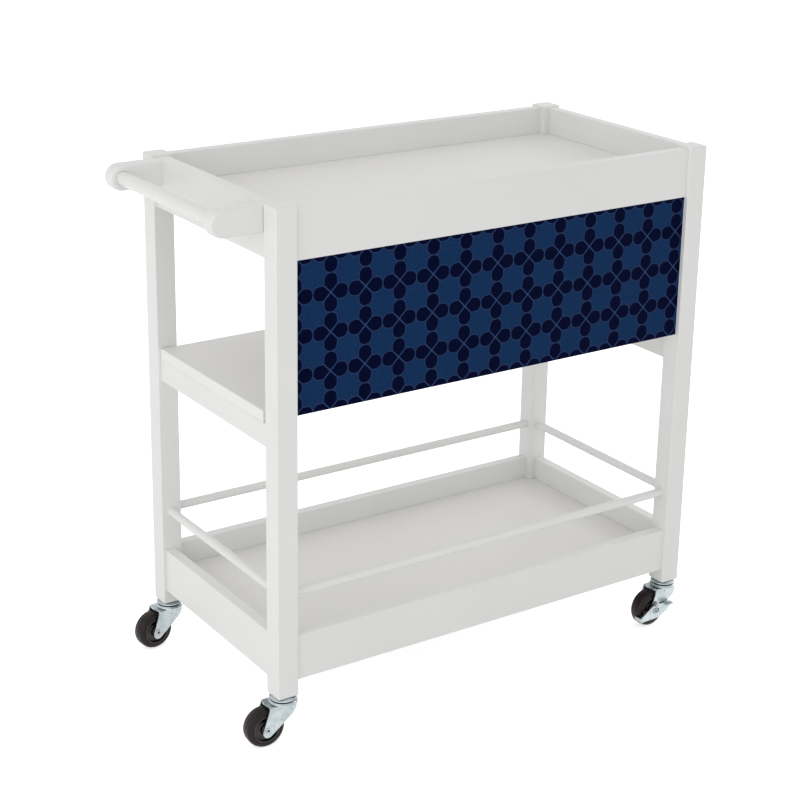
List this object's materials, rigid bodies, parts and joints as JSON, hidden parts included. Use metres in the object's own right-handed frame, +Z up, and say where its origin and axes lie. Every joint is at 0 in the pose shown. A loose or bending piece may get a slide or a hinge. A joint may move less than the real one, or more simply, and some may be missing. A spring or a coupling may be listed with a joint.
{
  "type": "bar cart",
  "caption": "White wooden bar cart on swivel casters: deep top tray with a push handle, printed front panel, middle shelf and bottom tray inside guard rails.",
  "frame": {"origin": "on the floor under the middle of the whole cart, handle included", "axes": "+X along the cart away from the handle, -Y towards the printed front panel, +Z up"},
  "size_m": [0.882, 0.4293, 0.84],
  "materials": {
    "post_paint": "smooth white lacquer on wood",
    "board_paint": "smooth white lacquer on wood",
    "floor_paint": "smooth white lacquer on board",
    "rail_paint": "white lacquer on turned wood",
    "handle_paint": "white lacquer on wood",
    "printed_panel": "blue printed pattern on board, satin",
    "zinc_steel": "bright zinc plate on pressed steel",
    "rivet_steel": "zinc plate on rivet steel",
    "ball_steel": "polished bearing steel",
    "screw_steel": "zinc plate",
    "hub_plastic": "moulded black plastic, semi-gloss",
    "tyre_rubber": "black rubber, satin"
  },
  "bodies": {
    "cart_frame": {"bottom_tray_back_board": "board_paint", "bottom_tray_floor": "floor_paint", "bottom_tray_front_board": "board_paint", "bottom_tray_left_board": "board_paint", "bottom_tray_right_board": "board_paint", "caster_stem_front_left": "zinc_steel", "caster_stem_front_right": "zinc_steel", "caster_stem_rear_left": "zinc_steel", "caster_stem_rear_right": "zinc_steel", "front_panel": "printed_panel", "guard_rail_back": "rail_paint", "guard_rail_front": "rail_paint", "guard_rail_left": "rail_paint", "guard_rail_right": "rail_paint", "handle_arm_front": "handle_paint", "handle_arm_rear": "handle_paint", "handle_bar": "handle_paint", "handle_screws": "screw_steel", "middle_shelf": "floor_paint", "post_front_left": "post_paint", "post_front_right": "post_paint", "post_rear_left": "post_paint", "post_rear_right": "post_paint", "shelf_rail_left": "board_paint", "shelf_rail_right": "board_paint", "stem_inserts": "screw_steel", "swivel_balls": "ball_steel", "top_tray_back_board": "board_paint", "top_tray_floor": "floor_paint", "top_tray_front_board": "board_paint", "top_tray_left_board": "board_paint", "top_tray_right_board": "board_paint"},
    "fork_front_left": {"caster_fork_front_left": "zinc_steel", "caster_axle_front_left": "rivet_steel"},
    "wheel_front_left": {"wheel_hub_front_left": "hub_plastic", "wheel_tyre_front_left": "tyre_rubber"},
    "fork_rear_left": {"caster_fork_rear_left": "zinc_steel", "caster_axle_rear_left": "rivet_steel"},
    "wheel_rear_left": {"wheel_hub_rear_left": "hub_plastic", "wheel_tyre_rear_left": "tyre_rubber"},
    "fork_front_right": {"caster_fork_front_right": "zinc_steel", "caster_axle_front_right": "rivet_steel", "brake_rivet_front_right": "rivet_steel"},
    "wheel_front_right": {"wheel_hub_front_right": "hub_plastic", "wheel_tyre_front_right": "tyre_rubber"},
    "brake_front_right": {"brake_lever_front_right": "zinc_steel"},
    "fork_rear_right": {"caster_fork_rear_right": "zinc_steel", "caster_axle_rear_right": "rivet_steel", "brake_rivet_rear_right": "rivet_steel"},
    "wheel_rear_right": {"wheel_hub_rear_right": "hub_plastic", "wheel_tyre_rear_right": "tyre_rubber"},
    "brake_rear_right": {"brake_lever_rear_right": "zinc_steel"}
  },
  "joints": [
    {"name": "swivel_front_left", "type": "hinge", "parent": "cart_frame", "child": "fork_front_left", "pos_m": [-0.339, -0.1885, 0.068], "axis": [0, 0, 1], "continuous": true},
    {"name": "roll_front_left", "type": "hinge", "parent": "fork_front_left", "child": "wheel_front_left", "pos_m": [-0.37195, -0.18677, 0.0315], "axis": [0.0523, 0.9986, 0], "continuous": true},
    {"name": "swivel_rear_left", "type": "hinge", "parent": "cart_frame", "child": "fork_rear_left", "pos_m": [-0.339, 0.1885, 0.068], "axis": [0, 0, 1], "continuous": true},
    {"name": "roll_rear_left", "type": "hinge", "parent": "fork_rear_left", "child": "wheel_rear_left", "pos_m": [-0.37182, 0.18505, 0.0315], "axis": [-0.1045, 0.9945, 0], "continuous": true},
    {"name": "swivel_front_right", "type": "hinge", "parent": "cart_frame", "child": "fork_front_right", "pos_m": [0.421, -0.1885, 0.068], "axis": [0, 0, 1], "continuous": true},
    {"name": "roll_front_right", "type": "hinge", "parent": "fork_front_right", "child": "wheel_front_right", "pos_m": [0.38804, -0.19023, 0.0315], "axis": [-0.0523, 0.9986, 0], "continuous": true},
    {"name": "brake_front_right", "type": "hinge", "parent": "fork_front_right", "child": "brake_front_right", "pos_m": [0.39199, -0.20825, 0.0411], "axis": [-0.0523, 0.9986, 0], "range_deg": [0, 19]},
    {"name": "swivel_rear_right", "type": "hinge", "parent": "cart_frame", "child": "fork_rear_right", "pos_m": [0.421, 0.1885, 0.068], "axis": [0, 0, 1], "continuous": true},
    {"name": "roll_rear_right", "type": "hinge", "parent": "fork_rear_right", "child": "wheel_rear_right", "pos_m": [0.38813, 0.18562, 0.0315], "axis": [-0.0872, 0.9962, 0], "continuous": true},
    {"name": "brake_rear_right", "type": "hinge", "parent": "fork_rear_right", "child": "brake_rear_right", "pos_m": [0.3927, 0.16775, 0.0411], "axis": [-0.0872, 0.9962, 0], "range_deg": [0, 19]}
  ]
}
